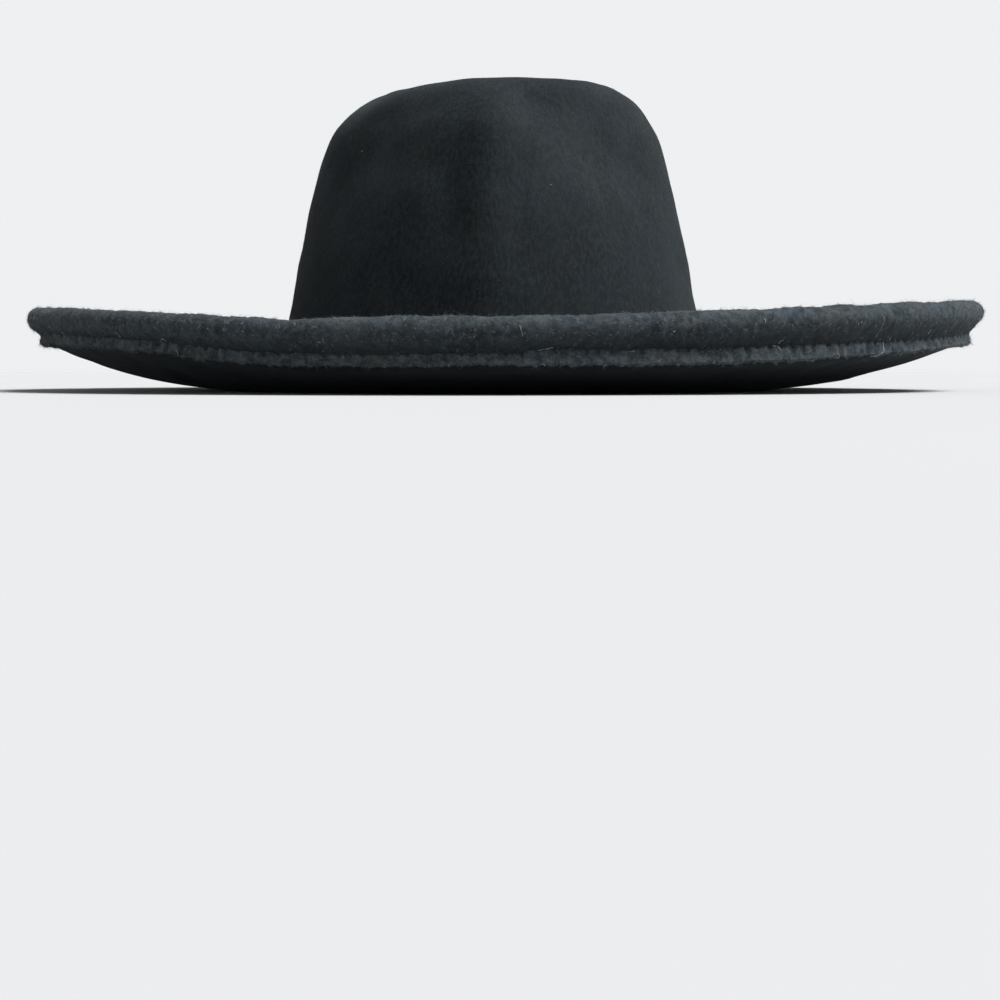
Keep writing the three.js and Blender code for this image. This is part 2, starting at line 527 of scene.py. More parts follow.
    def brim(self, theta: np.ndarray, width: np.ndarray, rows: Fineness) -> tuple[np.ndarray, np.ndarray]:
        """The brim's under side, from the foot of the crown to the raw edge.

        Args:
            theta: Directions round the hat.
            width: The brim's width at each.
            rows: How many rows each stretch has.

        Returns:
            How far out from the head opening, and how high, as columns by rows.
        """
        waves = sum(w.lift * swell(degrees_between(theta, w.at), w.wide) for w in self.waves)
        lift = between(theta, self.lift_front, self.lift_side, self.lift_back) + waves * self.lift_side
        level = np.zeros_like(theta)
        quarter = np.linspace(0, np.pi / 2, rows.break_rows + 1)[1:]
        out = [level + self.break_radius * (1 - math.cos(a)) for a in quarter]
        up = [level + self.break_radius * (1 - math.sin(a)) for a in quarter]
        for step in range(1, rows.rest + 1):
            out.append(level + self.break_radius + step / rows.rest * self.rest_width)
            up.append(level)
        inner = self.break_radius + self.rest_width
        heading = level
        for _ in range(2):
            edge_r, _ = walk(level, level, heading, self.turned_edge(theta, heading, rows))
            sweep = width - inner - edge_r.max(axis=1) - self.felt
            heading = np.arctan2(2 * lift, sweep) if heading is level else heading
        for step in range(1, rows.sweep + 1):
            share = step / rows.sweep
            out.append(inner + share * sweep)
            up.append(lift * share * share)
        edge_r, edge_z = walk(out[-1], up[-1], heading, self.turned_edge(theta, heading, rows))
        return np.hstack([np.stack(out, axis=1), edge_r]), np.hstack([np.stack(up, axis=1), edge_z])

    def skin(self, rows: Fineness) -> Skin:
        """Walks the whole felt, with the softness that hands and use leave in it.

        Args:
            rows: How finely it is divided.

        Returns:
            The felt's two sides, and the zone of each row.
        """
        theta = np.arange(rows.around) / rows.around * FULL_TURN
        crown = self.crown(theta, rows.ring)
        root = self.head_oval(theta, 0.0)
        rim = self.oval(theta, (self.reach_left, self.reach_right, self.reach_front, self.reach_back), 0.0)
        width = np.linalg.norm(rim - root, axis=-1)
        outward = unit(rim - root)
        out, up = self.brim(theta, width, rows)
        brim = root[:, None, :] + outward[:, None, :] * out[:, :, None]
        brim[:, :, 2] = up
        under = np.concatenate([crown, brim], axis=1)
        counts = [
            (Zone.CROWN, crown.shape[1]),
            (Zone.BREAK, rows.break_rows),
            (Zone.REST, rows.rest),
            (Zone.SWEEP, rows.sweep),
            (Zone.BEND, rows.bend),
            (Zone.WALL, rows.wall),
            (Zone.ROLL, rows.roll),
            (Zone.WELT, rows.welt),
            (Zone.SEAM, rows.seam),
            (Zone.LIP, rows.lip),
        ]
        zone = np.concatenate([np.full(count, name.value) for name, count in counts])
        share = np.concatenate([np.arange(1, count + 1) / count for _, count in counts])
        under[:, :, 0] += (self.reach_right - self.reach_left) / 2
        normal = grid_normals(under)
        off_floor = ease(under[:, :, 2], self.even_below, self.uneven_from)
        soft = self.unevenness * lumps(under, 11, 0.012, 0.05) * off_floor
        under = under + normal * soft[:, :, None]
        normal = grid_normals(under)
        return Skin(theta, under, under + normal * self.felt, normal, zone, share)


def grid_normals(points: np.ndarray) -> np.ndarray:
    """Normals of a grid that closes on itself round the hat, on its upper side.

    Args:
        points: The grid, as columns by rows by x, y and z.

    Returns:
        A unit normal for each point.
    """
    step = unit(np.diff(points, axis=1))
    down = np.concatenate([step[:, :1], step[:, 1:] + step[:, :-1], step[:, -1:]], axis=1)
    around = np.roll(points, -1, axis=0) - np.roll(points, 1, axis=0)
    normal = unit(np.cross(down, around))
    flat = np.linalg.norm(around, axis=-1) < 1e-7
    normal[flat] = (0.0, 0.0, 1.0)
    return normal


class MeshMaker:
    """Gathers points and faces from arrays, and makes one mesh object of them."""

    def __init__(self) -> None:
        """Starts empty."""
        self.points: list[np.ndarray] = []
        self.faces: list[np.ndarray] = []
        self.count = 0

    def add_points(self, points: np.ndarray) -> int:
        """Adds points.

        Args:
            points: The points, in any shape whose last axis is x, y and z.

        Returns:
            The index of the first of them.
        """
        flat = points.reshape(-1, 3)
        start = self.count
        self.points.append(flat)
        self.count += len(flat)
        return start

    def add_faces(self, faces: np.ndarray) -> None:
        """Adds faces that all have as many corners as the array's last axis."""
        self.faces.append(faces.reshape(-1, faces.shape[-1]).astype(np.int64))

    def add_grid(self, start: int, columns: int, rows: int, flip: bool) -> None:
        """Adds the faces of a grid that closes on itself round the hat.

        Args:
            start: The index of the grid's first point.
            columns: How many columns go round.
            rows: How many rows it has.
            flip: Whether its faces look down instead of up.
        """
        column = np.arange(columns)[:, None]
        row = np.arange(rows - 1)[None, :]
        here = start + column * rows + row
        beside = start + (column + 1) % columns * rows + row
        quads = np.stack([here, here + 1, beside + 1, beside], axis=-1)
        self.add_faces(quads[..., ::-1] if flip else quads)

    def object(
        self,
        name: str,
        material: bpy.types.Material,
        smooth: bool = True,
        nap: list[np.ndarray] | None = None,
    ) -> bpy.types.Object:
        """Makes the object, riding on the hat's body.

        Args:
            name: The piece's name.
            material: Its material.
            smooth: Whether its faces are shaded smooth.
            nap: How far the felt's nap is raised at each point, a level that on the turned edge also paints
                light and shade, in the order the points were added.

        Returns:
            The new object.
        """
        points = np.concatenate(self.points).astype(np.float32)
        sizes = np.concatenate([np.full(len(f), f.shape[-1]) for f in self.faces])
        corners = np.concatenate([f.ravel() for f in self.faces]).astype(np.int32)
        starts = np.concatenate([[0], np.cumsum(sizes)[:-1]]).astype(np.int32)
        mesh = bpy.data.meshes.new(name)
        mesh.vertices.add(len(points))
        mesh.vertices.foreach_set("co", points.ravel())
        mesh.loops.add(len(corners))
        mesh.loops.foreach_set("vertex_index", corners)
        mesh.polygons.add(len(starts))
        mesh.polygons.foreach_set("loop_start", starts)
        mesh.polygons.foreach_set("use_smooth", np.full(len(starts), smooth))
        mesh.update(calc_edges=True)
        mesh.validate()
        if nap:
            raised = mesh.attributes.new(NAP_AND_PAINTED_LIGHT_ATTRIBUTE, "FLOAT", "POINT")
            levels = np.concatenate([part.ravel() for part in nap])
            raised.data.foreach_set("value", levels.astype(np.float32))
        mesh.materials.append(material)
        piece = bpy.data.objects.new(name, mesh)
        bpy.context.scene.collection.objects.link(piece)
        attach(piece, BODY)
        triangles = int((sizes - 2).sum())
        log.info("%s: %d triangles", name, triangles)
        return piece


class NodeBench:
    """A material's node tree, with short ways to add and join nodes."""

    def __init__(self, name: str) -> None:
        """Starts a material with an empty tree.

        Args:
            name: The material's name.
        """
        self.material = bpy.data.materials.new(name)
        self.material.use_nodes = True
        self.tree = self.material.node_tree
        self.tree.nodes.clear()
        self.column = 0

    def add(self, kind: str, **settings: object) -> bpy.types.Node:
        """Adds a node.

        Args:
            kind: The node's type.
            settings: Its properties.

        Returns:
            The node.
        """
        node = self.tree.nodes.new(kind)
        node.location = (self.column * 180, 0)
        self.column += 1
        for key, value in settings.items():
            setattr(node, key, value)
        return node

    def join(self, source: bpy.types.NodeSocket, target: bpy.types.NodeSocket) -> None:
        """Links an output to an input."""
        self.tree.links.new(source, target)

    def noise(
        self, place: bpy.types.NodeSocket, scale: float, detail: float, rough: float
    ) -> bpy.types.Node:
        """Adds a noise in space.

        Args:
            place: Where it is read.
            scale: Its waves per metre.
            detail: How many finer layers it has.
            rough: How strong they are.

        Returns:
            The noise node.
        """
        node = self.add("ShaderNodeTexNoise")
        node.inputs["Scale"].default_value = scale
        node.inputs["Detail"].default_value = detail
        node.inputs["Roughness"].default_value = rough
        self.join(place, node.inputs["Vector"])
        return node

    def drawn_out(self, place: bpy.types.NodeSocket, along: tuple) -> bpy.types.NodeSocket:
        """Draws a texture out along an axis.

        Args:
            place: Where it is read.
            along: How fine it stays along each axis, less than 1 where it is drawn out.

        Returns:
            The socket of where it is read after that.
        """
        node = self.add("ShaderNodeMapping")
        node.inputs["Scale"].default_value = along
        self.join(place, node.inputs["Vector"])
        return node.outputs["Vector"]

    def between(self, value: bpy.types.NodeSocket, source: tuple, target: tuple) -> bpy.types.NodeSocket:
        """Maps a value from one range to another, held to its ends.

        Args:
            value: The value's socket.
            source: The range it comes in.
            target: The range it goes out.

        Returns:
            The mapped value's socket.
        """
        node = self.add("ShaderNodeMapRange")
        node.inputs["From Min"].default_value = source[0]
        node.inputs["From Max"].default_value = source[1]
        node.inputs["To Min"].default_value = target[0]
        node.inputs["To Max"].default_value = target[1]
        self.join(value, node.inputs["Value"])
        return node.outputs["Result"]

    def mix(
        self, share: bpy.types.NodeSocket | float, first: object, second: object, blend: str = "MIX"
    ) -> bpy.types.NodeSocket:
        """Mixes two colours.

        Args:
            share: How much of the second is taken.
            first: A colour or a colour's socket.
            second: A colour or a colour's socket.
            blend: How the second is laid on the first.

        Returns:
            The mixed colour's socket.
        """
        node = self.add("ShaderNodeMix", data_type="RGBA", blend_type=blend)
        if isinstance(share, bpy.types.NodeSocket):
            self.join(share, node.inputs["Factor"])
        else:
            node.inputs["Factor"].default_value = share
        for colour, socket in ((first, node.inputs[6]), (second, node.inputs[7])):
            if isinstance(colour, bpy.types.NodeSocket):
                self.join(colour, socket)
            else:
                socket.default_value = (*colour, 1.0)
        return node.outputs[2]

    def bump(
        self, height: bpy.types.NodeSocket, depth: float, under: bpy.types.Node | None
    ) -> bpy.types.Node:
        """Adds fine relief.

        Args:
            height: The relief's height, from 0 to 1.
            depth: What a height of 1 stands for, in metres.
            under: Coarser relief that it lies on.

        Returns:
            The bump node.
        """
        node = self.add("ShaderNodeBump")
        node.inputs["Strength"].default_value = 1.0
        node.inputs["Distance"].default_value = depth
        self.join(height, node.inputs["Height"])
        if under:
            self.join(under.outputs["Normal"], node.inputs["Normal"])
        return node


@dataclass(frozen=True)
class FeltLook:
    """How one state of the felt looks: its ground, the hairs in it, and how cloudy the ground is."""

    dark: tuple[float, float, float]
    light: tuple[float, float, float]
    hair: tuple[float, float, float]
    hair_share: float
    cloud: float


@dataclass(frozen=True)
class FeltFinish:
    """Black wool felt: a mottled ground of matted fibres, with paler hairs and flecks lying in it."""

    name: str
    smooth: FeltLook
    raised: FeltLook
    neutral: tuple[float, float, float]
    bluish: tuple[float, float, float]
    sheen: float
    sheen_tint: tuple[float, float, float]
    mottle_waves: float = 55
    hue_waves: float = 48
    grain_waves: float = 800
    tuft_waves: float = 320
    hair_waves: float = 650
    hair_curl: float = 2.4
    upright: tuple[float, float, float] = (1.0, 1.0, 0.45)
    mottle_depth: float = 0.0003
    grain_depth: float = 0.0003
    tuft_depth: float = 0.0010
    flat_grain: float = 0.6
    flat_tufts: float = 0.08

    def colour(self, bench: NodeBench, look: FeltLook, shares: tuple) -> bpy.types.NodeSocket:
        """Lays one state's colours.

        Args:
            bench: The material's nodes.
            look: The state.
            shares: Sockets of the mottling, the grain and the hairs.

        Returns:
            The colour's socket.
        """
        mottle, grain, strands = shares
        ground = bench.mix(bench.between(mottle, (0.33, 0.67), (0.0, look.cloud)), look.dark, look.light)
        ground = bench.mix(bench.between(grain, (0.43, 0.61), (0.0, 1.0)), ground, look.light)
        return bench.mix(bench.between(strands, (0.62, 0.8), (0.0, look.hair_share)), ground, look.hair)

    def material(self) -> bpy.types.Material:
        """Builds the felt's material.

        Returns:
            The material, which reads from the mesh how far the nap is raised, a level that on the turned
            edge also paints light and shade.
        """
        bench = NodeBench(self.name)
        place = bench.add("ShaderNodeTexCoord").outputs["Object"]
        raised = bench.add("ShaderNodeAttribute", attribute_name=NAP_AND_PAINTED_LIGHT_ATTRIBUTE).outputs["Fac"]
        mottle = bench.noise(place, self.mottle_waves, 4, 0.6).outputs["Fac"]
        grain = bench.noise(bench.drawn_out(place, self.upright), self.grain_waves, 4, 0.7).outputs["Fac"]
        hue = bench.noise(place, self.hue_waves, 3, 0.55).outputs["Fac"]
        tufts = bench.noise(place, self.tuft_waves, 5, 0.7).outputs["Fac"]
        strands = bench.noise(place, self.hair_waves, 2, 0.5)
        strands.inputs["Distortion"].default_value = self.hair_curl
        hairs = strands.outputs["Fac"]
        shares = (mottle, grain, hairs)
        smooth = self.colour(bench, self.smooth, shares)
        # The raised look is paler fuzzy nap; laid by the nap level, it is also a painted highlight on the
        # roll's top and the lip.
        fuzzy_and_painted_light = self.colour(bench, self.raised, (mottle, tufts, hairs))
        tint = bench.mix(bench.between(hue, (0.38, 0.62), (0.0, 1.0)), self.neutral, self.bluish)
        colour = bench.mix(1.0, bench.mix(raised, smooth, fuzzy_and_painted_light), tint, "MULTIPLY")
        rough = bench.between(grain, (0.3, 0.7), (0.86, 1.0))
        coarse = bench.bump(mottle, self.mottle_depth, None)
        matted = bench.bump(grain, self.grain_depth, coarse)
        bench.join(bench.between(raised, (0.0, 1.0), (self.flat_grain, 1.0)), matted.inputs["Strength"])
        tufted = bench.bump(tufts, self.tuft_depth, matted)
        bench.join(bench.between(raised, (0.0, 1.0), (self.flat_tufts, 1.0)), tufted.inputs["Strength"])
        shader = bench.add("ShaderNodeBsdfPrincipled")
        bench.join(colour, shader.inputs["Base Color"])
        bench.join(rough, shader.inputs["Roughness"])
        bench.join(tufted.outputs["Normal"], shader.inputs["Normal"])
        shader.inputs["Specular IOR Level"].default_value = 0.12
        shader.inputs["Sheen Weight"].default_value = self.sheen
        shader.inputs["Sheen Roughness"].default_value = 0.55
        shader.inputs["Sheen Tint"].default_value = (*self.sheen_tint, 1.0)
        out = bench.add("ShaderNodeOutputMaterial")
        bench.join(shader.outputs["BSDF"], out.inputs["Surface"])
        return bench.material


@dataclass(frozen=True)
class FibreFinish:
    """Loose wool fibres or thread, a little paler here and there along their length."""

    name: str
    dark: tuple[float, float, float]
    light: tuple[float, float, float]
    sheen: float
    scale: float

    def material(self) -> bpy.types.Material:
        """Builds the fibres' material.

        Returns:
            The material.
        """
        bench = NodeBench(self.name)
        place = bench.add("ShaderNodeTexCoord").outputs["Object"]
        tone = bench.noise(place, self.scale, 3, 0.6)
        share = bench.between(tone.outputs["Fac"], (0.4, 0.65), (0.0, 1.0))
        colour = bench.mix(share, self.dark, self.light)
        rough = bench.between(tone.outputs["Fac"], (0.3, 0.7), (0.7, 0.95))
        shader = bench.add("ShaderNodeBsdfPrincipled")
        bench.join(colour, shader.inputs["Base Color"])
        bench.join(rough, shader.inputs["Roughness"])
        shader.inputs["Specular IOR Level"].default_value = 0.2
        shader.inputs["Sheen Weight"].default_value = self.sheen
        shader.inputs["Sheen Roughness"].default_value = 0.5
        out = bench.add("ShaderNodeOutputMaterial")
        bench.join(shader.outputs["BSDF"], out.inputs["Surface"])
        return bench.material


BLACK_FELT = FeltFinish(
    name="black_wool_felt",
    smooth=FeltLook((0.0040, 0.0056, 0.0063), (0.0112, 0.0153, 0.0172), (0.036, 0.049, 0.055), 0.5, 0.3),
    # The raised look is pale fuzzy nap, made paler still as a painted highlight for the roll's top and lip.
    raised=FeltLook((0.0125, 0.0165, 0.0188), (0.0545, 0.0655, 0.0710), (0.146, 0.170, 0.182), 0.6, 0.55),
    neutral=(1.04, 1.00, 0.97),
    bluish=(0.93, 0.98, 1.06),
    sheen=0.03,
    sheen_tint=(0.80, 0.93, 1.0),
)
NAP = FibreFinish(
    name="raised_nap", dark=(0.037, 0.044, 0.048), light=(0.161, 0.181, 0.192), sheen=0.3, scale=700
)
SHORT_NAP = FibreFinish(
    name="short_nap", dark=(0.0115, 0.0152, 0.0170), light=(0.034, 0.0435, 0.0485), sheen=0.1, scale=900
)
BLACK_THREAD = FibreFinish(
    name="black_thread", dark=(0.008, 0.010, 0.011), light=(0.024, 0.029, 0.032), sheen=0.1, scale=2500
)
PALE_THREAD = FibreFinish(
    name="pale_loose_thread", dark=(0.13, 0.145, 0.155), light=(0.40, 0.435, 0.455), sheen=0.2, scale=1200
)


@dataclass(frozen=True)
class CrownAndBrim:
    """The smooth felt of the crown and the brim, up to where the brim's edge bends up."""

    form: BlockedForm
    felt: bpy.types.Material
    rows: Fineness = Fineness(384, 10, 8, 3, 24, 1, 1, 6, 1, 2, 1)

    def build(self) -> Skin:
        """Makes the felt of the crown and brim.

        Returns:
            The skin that its nap and lint sit on.
        """
        skin = self.form.skin(self.rows)
        end = int(skin.rows_in(Zone.SWEEP)[-1]) - 1
        columns = self.rows.around
        maker = MeshMaker()
        nap = []
        for side, flip in ((skin.under, True), (skin.upper, False)):
            middle = maker.add_points(side[0, 0])
            start = maker.add_points(side[:, 1:end])
            nap += [brushed(side[0, :1]), brushed(side[:, 1:end])]
            rows = end - 1
            maker.add_grid(start, columns, rows, flip)
            ring = start + np.arange(columns) * rows
            fan = np.stack([np.full(columns, middle), ring, np.roll(ring, -1)], axis=-1)
            maker.add_faces(fan[:, ::-1] if flip else fan)
        rim = np.stack([skin.upper[:, end - 1], skin.under[:, end - 1]], axis=1)
        maker.add_grid(maker.add_points(rim), columns, 2, False)
        nap.append(brushed(rim))
        piece = maker.object("crown_and_brim", self.felt, nap=nap)
        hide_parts(FELT_NODE)
        return skin


@dataclass(frozen=True)
class TurnedEdge:
    """The brim's edge: bent up, rolled over outwards and sewn down, and puckered between the stitches."""

    form: BlockedForm
    felt: bpy.types.Material
    around: int = 1536
    stitch: float = 0.0050
    pucker: float = 0.00085
    scallop: float = 0.00090
    hole: float = 0.00050
    hole_reach: float = 0.22
    puff_sizes: tuple[float, float] = (0.55, 1.3)
    under_share: float = 0.6
    nub: float = 0.00010
    ragged: float = 0.00040
    ragged_change: float = 0.00024
    hidden_step: int = 4

    def rows(self) -> Fineness:
        """How finely the edge is divided, in step with the crown and brim where they meet."""
        return Fineness(self.around, 1, 1, 1, 24, 5, 2, 12, 4, 9, 4)

    def skin(self) -> Skin:
        """Walks the edge and presses the stitching into it.

        Returns:
            The skin, puckered and scalloped at the seam and lip.
        """
        skin = self.form.skin(self.rows())
        phase = self.phase(skin)
        puff = np.abs(np.sin(np.pi * phase)) ** 0.8
        chance = np.random.default_rng(21)
        number = np.floor(phase).astype(int)
        size = chance.uniform(*self.puff_sizes, number.max() + 2)[number]
        pucker = (puff - 0.45) * size * self.pucker
        scallop = (puff - 0.5) * size * self.scallop
        hole = swell(phase - np.round(phase), self.hole_reach) * self.hole
        upper = skin.upper.copy()
        under = skin.under.copy()
        for row in skin.rows_in(Zone.WELT, Zone.SEAM, Zone.LIP):
            zone, share = Zone(int(skin.zone[row])), skin.share[row]
            near = {Zone.WELT: 0.55 * share**2, Zone.SEAM: 1.0, Zone.LIP: 1 - 0.45 * share}[zone]
            raised = {Zone.WELT: share**3, Zone.SEAM: 1.0, Zone.LIP: 1 - share}[zone]
            pressed = swell(np.float64(share - 0.45), 0.5) if zone is Zone.SEAM else 0.0
            move = pucker * near - hole * pressed
            upper[:, row] += skin.normal[:, row] * move[:, None]
            upper[:, row, 2] += scallop * raised
            if zone is Zone.LIP:
                under[:, row] += skin.normal[:, row] * (self.under_share * pucker * near)[:, None]
        rough = self.nub * lumps(upper, 31, 0.0016, 0.006)
        nubbed = skin.rows_in(Zone.ROLL, Zone.WELT, Zone.SEAM, Zone.LIP)
        upper[:, nubbed] += skin.normal[:, nubbed] * rough[:, nubbed, None]
        return Skin(skin.theta, under, upper, skin.normal, skin.zone, skin.share)

    def phase(self, skin: Skin) -> np.ndarray:
        """Counts stitches along the seam.

        Args:
            skin: The felt that is sewn.

        Returns:
            The stitch count at each direction, whole at the needle's holes.
        """
        row = int(skin.rows_in(Zone.SEAM)[0])
        line = skin.upper[:, row]
        steps = np.linalg.norm(np.roll(line, -1, axis=0) - line, axis=-1)
        length = steps.sum()
        along = np.concatenate([[0.0], np.cumsum(steps)[:-1]]) / length
        return round(length / self.stitch) * along + 0.35 * ripple(skin.theta, 22, 20, 90) + 2

    @staticmethod
    def raised(skin: Skin) -> np.ndarray:
        """How far the nap stands up: most on the roll's top and the lip, least on the welt in the lee of
        the roll. The level also paints light: a painted highlight on the roll's top and lip, and painted
        shade on the welt.

        Args:
            skin: The edge's skin.

        Returns:
            One level for each row.
        """
        # Partly raised nap, partly painted light: high levels on the roll's top and the lip are painted
        # highlight, and low levels on the welt under the roll are painted shade.
        ends = {
            Zone.BEND: (0.0, 0.25),
            Zone.WALL: (0.25, 1.0),
            Zone.ROLL: (1.15, 0.45),
            Zone.WELT: (0.45, 0.05),
            Zone.SEAM: (0.05, 0.95),
            Zone.LIP: (1.0, 1.3),
        }
        level = np.zeros(len(skin.zone))
        for zone, (start, end) in ends.items():
            rows = skin.rows_in(zone)
            level[rows] = start + (end - start) * skin.share[rows]
        return level

    def build(self) -> Skin:
        """Makes the turned edge.

        Returns:
            The skin that thread, nap and lint sit on, whose upper side goes on over the raw edge.
        """
        skin = self.skin()
        first = int(skin.rows_in(Zone.SWEEP)[-1]) - 2
        columns = self.around
        maker = MeshMaker()
        level = self.raised(skin)
        hidden = skin.rows_in(Zone.ROLL, Zone.WELT, Zone.SEAM)
        rows = range(first, len(skin.zone))
        kept = [row for row in rows if row not in hidden or row % self.hidden_step == 0]
        under = skin.under[:, kept]
        maker.add_grid(maker.add_points(under), columns, len(kept), True)
        upper = skin.upper[:, first:]
        maker.add_grid(maker.add_points(upper), columns, upper.shape[1], False)
        tip = (skin.upper[:, -1] + skin.under[:, -1]) / 2
        out = unit(skin.upper[:, -1] - skin.upper[:, -2])
        ragged = self.ragged + self.ragged_change * lumps(tip, 41, 0.0014, 0.008)
        end = tip + out * ragged[:, None]
        raw = np.stack([skin.upper[:, -1], end, skin.under[:, -1]], axis=1)
        maker.add_grid(maker.add_points(raw), columns, 3, False)
        inner = np.stack([skin.under[:, first], skin.upper[:, first]], axis=1)
        maker.add_grid(maker.add_points(inner), columns, 2, False)
        # The lip's under side gets a lower nap level than its upper side: painted shade under the lip.
        below = np.where(skin.zone == Zone.LIP.value, 0.2, 0.0)
        nap = [np.maximum(below[kept], brushed(under)), np.maximum(level[first:], brushed(upper))]
        nap += [np.ones(columns * 3), brushed(inner)]
        piece = maker.object("turned_edge", self.felt, nap=nap)
        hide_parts(FELT_NODE)
        return Skin(
            skin.theta,
            skin.under,
            np.concatenate([skin.upper, end[:, None], skin.under[:, -1:]], axis=1),
            np.concatenate([skin.normal, out[:, None], out[:, None]], axis=1),
            np.append(skin.zone, [Zone.LIP.value, Zone.LIP.value]),
            np.append(skin.share, [1.0, 1.0]),
        )


class ThreadMaker:
    """Sweeps a round thread along a path."""

    END_SHARE = 0.35

    def __init__(self, maker: MeshMaker, radius: float, sides: int = 6) -> None:
        """Keeps the mesh that the threads join, and their thickness.

        Args:
            maker: The mesh that is added to.
            radius: Half the thread's thickness.
            sides: How many sides it has.
        """
        self.maker = maker
        self.radius = radius
        self.sides = sides

    def sweep(self, path: np.ndarray) -> None:
        """Adds one thread, thinner at both ends.

        Args:
            path: The points along its middle.
        """
        heading = unit(np.gradient(path, axis=0))
        across = unit(np.cross(heading, np.array([0.31, 0.22, 0.93])))
        above = np.cross(heading, across)
        turn = np.arange(self.sides) / self.sides * FULL_TURN
        thick = np.full(len(path), self.radius)
        thick[[0, -1]] *= self.END_SHARE
        sideways = np.cos(turn)[None, :, None] * across[:, None, :]
        ring = sideways + np.sin(turn)[None, :, None] * above[:, None, :]
        points = path[:, None, :] + ring * thick[:, None, None]
        start = self.maker.add_points(points)
        row = np.arange(len(path) - 1)[:, None] * self.sides
        side = np.arange(self.sides)[None, :]
        beside = (side + 1) % self.sides
        quads = [start + row + side, start + row + beside, start + row + self.sides + beside]
        self.maker.add_faces(np.stack([*quads, start + row + self.sides + side], axis=-1))


@dataclass(frozen=True)
class Stitching:
    """The black thread that holds the turned edge down, doubled where its two ends overlap."""

    edge: TurnedEdge
    thickness: float = 0.00042
    points: int = 8
    sunk: float = 0.55
    proud: float = 0.75
    doubled: int = 4
    doubled_gap: float = 0.0009

    def build(self, skin: Skin) -> bpy.types.Object:
        """Makes the thread.

        Args:
            skin: The felt that it is sewn into.

        Returns:
            The thread's piece.
        """
        phase = self.edge.phase(skin)
        rows = skin.rows_in(Zone.SEAM)
        row = int(rows[len(rows) // 2 - 1])
        line = skin.upper[:, row]
        lift = skin.normal[:, row]
        maker = MeshMaker()
        thread = ThreadMaker(maker, self.thickness / 2)
        columns = np.arange(len(phase))
        arch = np.sin(np.linspace(0, np.pi, self.points)) ** 0.5
        start = int(np.interp(math.radians(self.edge.form.overlap_at), skin.theta, phase))
        for number in range(math.ceil(phase[0]), int(phase[-1])):
            places = np.interp(np.linspace(number + 0.04, number + 0.96, self.points), phase, columns)
            here = self.read(line, places)
            height = self.thickness * (self.proud * arch - self.sunk)
            thread.sweep(here + self.read(lift, places) * height[:, None])
            if start <= number < start + self.doubled:
                beside = np.interp(np.linspace(number - 0.30, number + 0.42, self.points), phase, columns)
                out = self.read(lift, beside) * (self.thickness * (0.9 * arch - 0.3))[:, None]
                thread.sweep(self.read(line, beside) + out + np.array([0.0, 0.0, self.doubled_gap]))
        return maker.object("seam_thread", BLACK_THREAD.material())

    @staticmethod
    def read(values: np.ndarray, places: np.ndarray) -> np.ndarray:
        """Reads an array between its rows.

        Args:
            values: The array, which closes on itself.
            places: Where it is read, counted in rows.

        Returns:
            One row for each place.
        """
        low = np.floor(places).astype(int)
        share = (places - low)[:, None]
        return values[low] * (1 - share) + values[(low + 1) % len(values)] * share


@dataclass(frozen=True)
class Wisp:
    """A pale fibre caught in the felt: its place, its size, and its turn from along the brim outwards."""

    at: float
    zone: Zone
    share: float
    length: float
    thickness: float
    turn: float
    curl: float = 40


